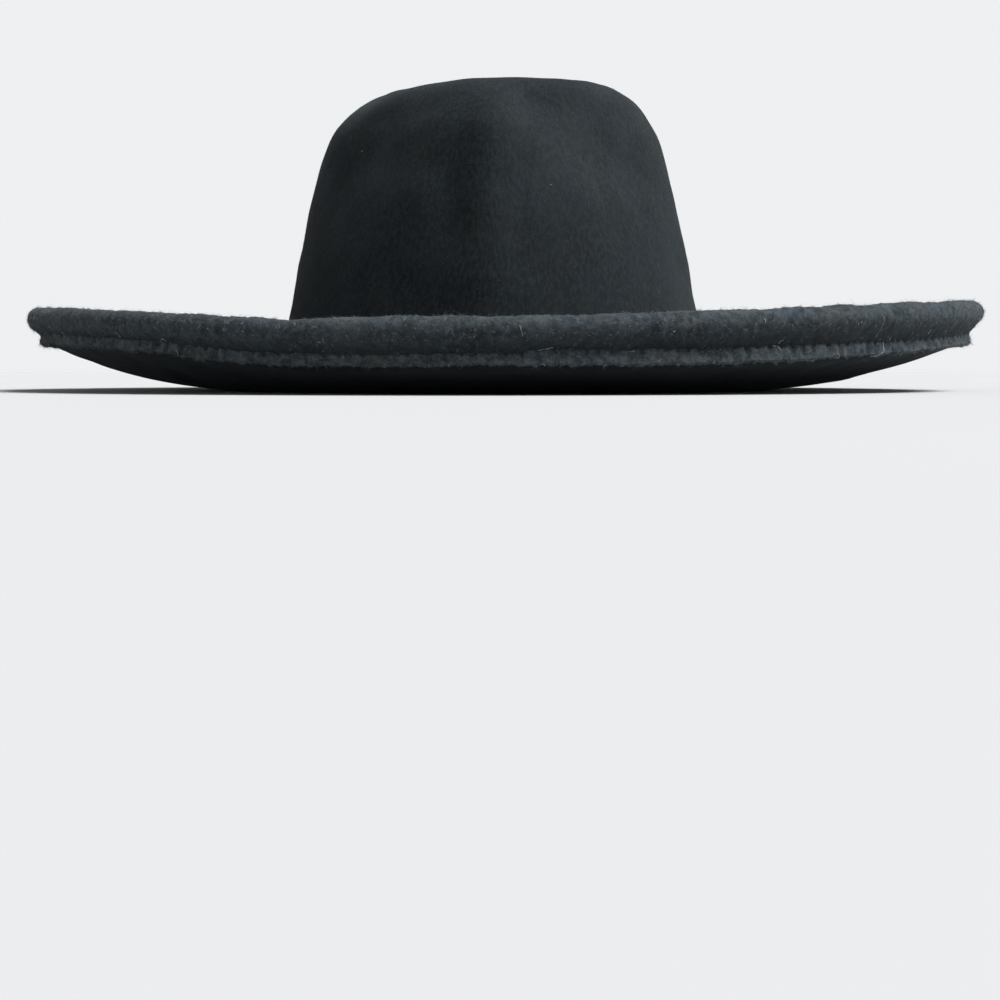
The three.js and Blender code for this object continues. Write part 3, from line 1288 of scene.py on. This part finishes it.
@dataclass(frozen=True)
class Lint:
    """Wisps caught in the nap: some placed, with a pale thread end first, and others strewn."""

    name: str = "edge_lint"
    wisps: tuple[Wisp, ...] = (
        Wisp(45.7, Zone.SEAM, 0.1, 0.0066, 0.00032, 138, 10),
        Wisp(43.4, Zone.ROLL, 0.80, 0.0085, 0.00009, 75, 18),
        Wisp(46.4, Zone.WELT, 0.75, 0.0010, 0.00024, 30, 120),
        Wisp(43.4, Zone.ROLL, 0.80, 0.0012, 0.00022, 60, 90),
        Wisp(39.4, Zone.ROLL, 0.95, 0.0014, 0.00016, 15, 150),
        Wisp(39.9, Zone.ROLL, 0.90, 0.0009, 0.00016, 80, 60),
        Wisp(38.0, Zone.LIP, 0.50, 0.0036, 0.00018, 25, 70),
        Wisp(29.4, Zone.WELT, 0.95, 0.0044, 0.00017, 8, 35),
        Wisp(30.1, Zone.WELT, 0.95, 0.0018, 0.00013, -70, 40),
        Wisp(27.2, Zone.ROLL, 0.75, 0.0014, 0.00018, 20, 110),
        Wisp(17.6, Zone.ROLL, 0.92, 0.0008, 0.00024, 100, 60),
        Wisp(13.4, Zone.SEAM, 0.70, 0.0026, 0.00015, 0, 60),
        Wisp(4.4, Zone.WELT, 1.0, 0.0052, 0.00014, 3, -12),
        Wisp(4.7, Zone.LIP, 0.70, 0.0020, 0.00018, 15, 40),
        Wisp(2.6, Zone.ROLL, 0.70, 0.0044, 0.00013, 68, 16),
        Wisp(-4.7, Zone.ROLL, 0.62, 0.0018, 0.00009, -75, 30),
        Wisp(-8.7, Zone.ROLL, 0.62, 0.0016, 0.00010, -95, 30),
        Wisp(-17.1, Zone.ROLL, 0.90, 0.0040, 0.00013, 60, 170),
        Wisp(-26.2, Zone.ROLL, 0.67, 0.0012, 0.00016, -80, 50),
        Wisp(-36.0, Zone.LIP, 0.40, 0.0022, 0.00014, 20, 60),
    )
    strewn: int = 46
    strewn_from: float = 55
    strewn_to: float = 320
    shortest: float = 0.0006
    longest: float = 0.0042
    thicknesses: tuple[float, float] = (0.00010, 0.00020)
    strewn_zones: tuple[Zone, ...] = (Zone.ROLL, Zone.ROLL, Zone.WELT, Zone.LIP)
    proud: float = 0.00012
    steps: int = 12

    def all_wisps(self) -> list[Wisp]:
        """Strews wisps over the rest of the felt.

        Returns:
            The placed wisps and the strewn ones.
        """
        chance = np.random.default_rng(61)
        strewn = []
        evenly = np.linspace(self.strewn_from, self.strewn_to, self.strewn)
        for at in evenly + chance.uniform(-3, 3, self.strewn):
            zone = self.strewn_zones[int(chance.integers(len(self.strewn_zones)))]
            share, thickness = float(chance.uniform(0.2, 1.0)), float(chance.uniform(*self.thicknesses))
            length = self.shortest + (self.longest - self.shortest) * float(chance.random()) ** 2
            turn, curl = float(chance.uniform(-90, 180)), float(chance.normal(0, 80))
            strewn.append(Wisp(float(at), zone, share, length, thickness, turn, curl))
        return [*self.wisps, *strewn]

    def path(self, wisp: Wisp, skin: Skin) -> np.ndarray:
        """Lays a wisp over the felt.

        Args:
            wisp: The wisp.
            skin: The felt that it lies on.

        Returns:
            The points along it.
        """
        rows = skin.rows_in(wisp.zone)
        column = (wisp.at % 360) / 360 * len(skin.theta)
        row = rows[0] - 1 + wisp.share * len(rows)
        stride = wisp.length / (self.steps - 1)
        points = []
        for step in range(self.steps):
            along = step / (self.steps - 1)
            here, up = self.read(skin.upper, column, row), self.read(skin.normal, column, row)
            points.append(here + up * self.proud * (1 + 2 * abs(along - 0.4)))
            heading = math.radians(wisp.turn + wisp.curl * along)
            wide = np.linalg.norm(self.read(skin.upper, column + 1, row) - here)
            tall = np.linalg.norm(self.read(skin.upper, column, row + 1) - here)
            column += stride * math.cos(heading) / max(wide, 1e-5)
            row += stride * math.sin(heading) / max(tall, 1e-5)
        return np.array(points)

    @staticmethod
    def read(grid: np.ndarray, column: float, row: float) -> np.ndarray:
        """Reads a grid between its points.

        Args:
            grid: The grid, which closes on itself round the hat.
            column: How far round, counted in columns.
            row: How far out, counted in rows and held to the grid.

        Returns:
            The value there.
        """
        row = min(max(row, 0.0), grid.shape[1] - 1.001)
        left, top = math.floor(column), math.floor(row)
        across, down = column - left, row - top
        left, right = left % len(grid), (left + 1) % len(grid)
        above = grid[left, top] * (1 - across) + grid[right, top] * across
        below = grid[left, top + 1] * (1 - across) + grid[right, top + 1] * across
        return above * (1 - down) + below * down

    def build(self, skin: Skin) -> bpy.types.Object:
        """Makes the wisps.

        Args:
            skin: The felt that they lie on.

        Returns:
            The wisps' piece.
        """
        maker = MeshMaker()
        for wisp in self.all_wisps():
            ThreadMaker(maker, wisp.thickness / 2).sweep(self.path(wisp, skin))
        return maker.object(self.name, PALE_THREAD.material())


@dataclass(frozen=True)
class NapPatch:
    """Raised wool fibres on some zones of the skin, each zone with how thickly they grow there."""

    name: str
    finish: FibreFinish
    zones: dict[Zone, float]
    count: int
    length: float
    width: float
    lift: float
    seed: int
    tuft: int = 1
    tuft_width: float = 0.00012
    tuft_parting: float = 0.3
    curl: float = 0.7
    rise: float = 0.35
    length_spread: float = 0.4
    width_spread: tuple[float, float] = (0.7, 1.3)

    def build(self, skin: Skin) -> bpy.types.Object:
        """Grows the fibres out of the felt's upper side, singly or in tufts that lean the same way.

        Args:
            skin: The felt that they grow from.

        Returns:
            The fibres' piece.
        """
        chance = np.random.default_rng(self.seed)
        rows = skin.rows_in(*self.zones)
        first, last = int(rows[0]), int(rows[-1])
        grid, normal = skin.upper, skin.normal
        columns = grid.shape[0]
        block = grid[:, first : last + 1]
        tall = np.linalg.norm(np.diff(block, axis=1), axis=-1)
        wide = np.linalg.norm(np.roll(block, -1, axis=0) - block, axis=-1)[:, :-1]
        thick = np.array([self.zones[Zone(int(z))] for z in skin.zone[first:last]])
        area = (tall * wide * thick).ravel()
        tufts = self.count // self.tuft
        cell = np.repeat(chance.choice(len(area), tufts, p=area / area.sum()), self.tuft)
        column, row = np.divmod(cell, last - first)
        row = row + first
        u = np.repeat(chance.random(tufts), self.tuft)[:, None]
        v = np.repeat(chance.random(tufts), self.tuft)[:, None]
        way = np.repeat(chance.normal(size=(tufts, 3)), self.tuft, axis=0)
        way = way + (chance.normal(0, self.tuft_parting, way.shape) if self.tuft > 1 else 0.0)
        beside = (column + 1) % columns
        root = (grid[column, row] * (1 - u) + grid[beside, row] * u) * (1 - v)
        root = root + (grid[column, row + 1] * (1 - u) + grid[beside, row + 1] * u) * v
        up = unit(normal[column, row] * (1 - v) + normal[column, row + 1] * v)
        aside = unit(np.cross(up, way))
        spread = self.tuft_width if self.tuft > 1 else 0.0
        root = root + np.cross(up, chance.normal(size=root.shape)) * spread
        lean = chance.uniform(0.05, 1.0, (self.count, 1)) ** 1.3 * self.lift
        first_way = unit(up * lean + aside)
        curl = unit(np.cross(up, aside)) * chance.normal(0, self.curl, (self.count, 1))
        second_way = unit(first_way + curl + up * chance.normal(0, self.rise, (self.count, 1)))
        long = self.length * chance.lognormal(0, self.length_spread, (self.count, 1))
        half = self.width / 2 * chance.uniform(*self.width_spread, (self.count, 1))
        start = root - up * self.width
        middle = start + first_way * long * 0.5
        tip = middle + second_way * long * 0.5
        flat = unit(np.cross(first_way, chance.normal(size=(self.count, 3)))) * half
        points = np.stack([start - flat, start + flat, middle + flat, middle - flat, tip], axis=1)
        maker = MeshMaker()
        base = maker.add_points(points) + np.arange(self.count) * 5
        maker.add_faces(np.stack([base, base + 1, base + 2, base + 3], axis=-1))
        maker.add_faces(np.stack([base + 3, base + 2, base + 4], axis=-1))
        return maker.object(self.name, self.finish.material(), smooth=False)


@dataclass(frozen=True)
class Studio:
    """A pale floor, soft light from above, and a camera low in front of the hat."""

    floor_size: float = 14.0
    floor_dark: tuple[float, float, float] = (0.406, 0.406, 0.406)
    floor_light: tuple[float, float, float] = (0.412, 0.412, 0.412)
    walls: tuple[float, float, float] = (0.86, 0.87, 0.88)
    ceiling: tuple[float, float, float] = (0.16, 0.165, 0.17)
    ceiling_from: float = 0.26
    ceiling_full: float = 0.6
    lamp_place: tuple[float, float, float] = (1.00, -0.30, 1.5)
    lamp_spread: float = 36
    lamp_strength: float = 6.9
    lamp_colour: tuple[float, float, float] = (0.98, 0.99, 1.0)
    camera_height: float = 0.008
    camera_distance: float = 0.9
    camera_aside: float = -0.0024
    lens: float = 81.3
    sensor: float = 36.0
    horizon_row: float = 370
    picture: float = 1000

    def floor(self) -> None:
        """Lays the floor."""
        bench = NodeBench("pale_floor")
        place = bench.add("ShaderNodeTexCoord").outputs["Object"]
        cloud = bench.noise(place, 3, 2, 0.5)
        share = bench.between(cloud.outputs["Fac"], (0.3, 0.7), (0.0, 1.0))
        colour = bench.mix(share, self.floor_dark, self.floor_light)
        shader = bench.add("ShaderNodeBsdfPrincipled")
        bench.join(colour, shader.inputs["Base Color"])
        shader.inputs["Roughness"].default_value = 0.9
        shader.inputs["Specular IOR Level"].default_value = 0.1
        out = bench.add("ShaderNodeOutputMaterial")
        bench.join(shader.outputs["BSDF"], out.inputs["Surface"])
        half = self.floor_size / 2
        mesh = bpy.data.meshes.new("floor")
        corners = [(-half, -half, 0), (half, -half, 0), (half, half, 0), (-half, half, 0)]
        mesh.from_pydata(corners, [], [(0, 1, 2, 3)])
        mesh.materials.append(bench.material)
        floor = bpy.data.objects.new("floor", mesh)
        bpy.context.scene.collection.objects.link(floor)

    def lamp(self) -> None:
        """Hangs a soft light so far off that it falls evenly on the whole floor."""
        light = bpy.data.lights.new("overhead", "SUN")
        light.angle = math.radians(self.lamp_spread)
        light.energy = self.lamp_strength
        light.color = self.lamp_colour
        lamp = bpy.data.objects.new("overhead", light)
        lamp.location = self.lamp_place
        lamp.rotation_euler = (-Vector(self.lamp_place)).to_track_quat("-Z", "Y").to_euler()
        bpy.context.scene.collection.objects.link(lamp)

    def sky(self) -> None:
        """Sets the even light from all round: pale walls and a dimmer ceiling."""
        world = bpy.data.worlds.new("studio")
        world.use_nodes = True
        tree = world.node_tree
        ground = tree.nodes["Background"]
        ground.inputs["Strength"].default_value = 1.0
        place = tree.nodes.new("ShaderNodeTexCoord")
        split = tree.nodes.new("ShaderNodeSeparateXYZ")
        ramp = tree.nodes.new("ShaderNodeValToRGB")
        ramp.color_ramp.interpolation = "EASE"
        low, high = ramp.color_ramp.elements
        low.position = self.ceiling_from
        low.color = (*self.walls, 1.0)
        high.position = self.ceiling_full
        high.color = (*self.ceiling, 1.0)
        tree.links.new(place.outputs["Generated"], split.inputs[0])
        tree.links.new(split.outputs["Z"], ramp.inputs["Fac"])
        tree.links.new(ramp.outputs["Color"], ground.inputs["Color"])
        bpy.context.scene.world = world

    def camera(self) -> None:
        """Sets the camera up in front of the hat, just above the floor."""
        data = bpy.data.cameras.new("camera")
        data.sensor_width = self.sensor
        data.lens = self.lens
        data.clip_start = 0.005
        data.clip_end = 100
        camera = bpy.data.objects.new("camera", data)
        camera.location = (self.camera_aside, -self.camera_distance, self.camera_height)
        focal = self.lens / self.sensor * self.picture
        tilt = math.atan((self.picture / 2 - self.horizon_row) / focal)
        camera.rotation_euler = (math.pi / 2 - tilt, 0, 0)
        bpy.context.scene.collection.objects.link(camera)
        bpy.context.scene.camera = camera

    def build(self) -> None:
        """Sets up the floor, the lights and the camera."""
        self.floor()
        self.sky()
        self.lamp()
        self.camera()
        bpy.context.scene.view_settings.view_transform = "Standard"


ROLLED = {Zone.WALL: 0.6, Zone.ROLL: 1.4, Zone.WELT: 0.3, Zone.SEAM: 1.2, Zone.LIP: 1.7}
PRESSED = {Zone.CROWN: 1.0, Zone.BREAK: 1.0, Zone.REST: 1.0, Zone.SWEEP: 1.0}


def main() -> None:
    """Builds the hat's sub-assemblies in order, then the studio round them."""
    logging.basicConfig(level=logging.INFO, format="%(name)s %(message)s")
    form = BlockedForm()
    Studio().build()
    felt = BLACK_FELT.material()
    smooth = CrownAndBrim(form, felt).build()
    edge = TurnedEdge(form, felt)
    skin = edge.build()
    Stitching(edge).build(skin)
    Lint().build(skin)
    Lint(
        name="crown_lint",
        wisps=(),
        strewn=24,
        strewn_from=0,
        strewn_to=350,
        longest=0.0012,
        strewn_zones=(Zone.CROWN, Zone.SWEEP),
    ).build(smooth)
    NapPatch(
        name="roll_nap_long",
        finish=NAP,
        zones=ROLLED,
        count=60000,
        length=0.0015,
        width=0.000028,
        lift=0.75,
        seed=51,
        tuft=10,
    ).build(skin)
    NapPatch(
        name="roll_nap_short",
        finish=NAP,
        zones=ROLLED,
        count=60000,
        length=0.0008,
        width=0.000032,
        lift=0.7,
        seed=52,
    ).build(skin)
    NapPatch(
        name="crown_nap",
        finish=SHORT_NAP,
        zones=PRESSED,
        count=60000,
        length=0.0008,
        width=0.00003,
        lift=0.45,
        seed=53,
    ).build(smooth)


if __name__ == "__main__":
    main()
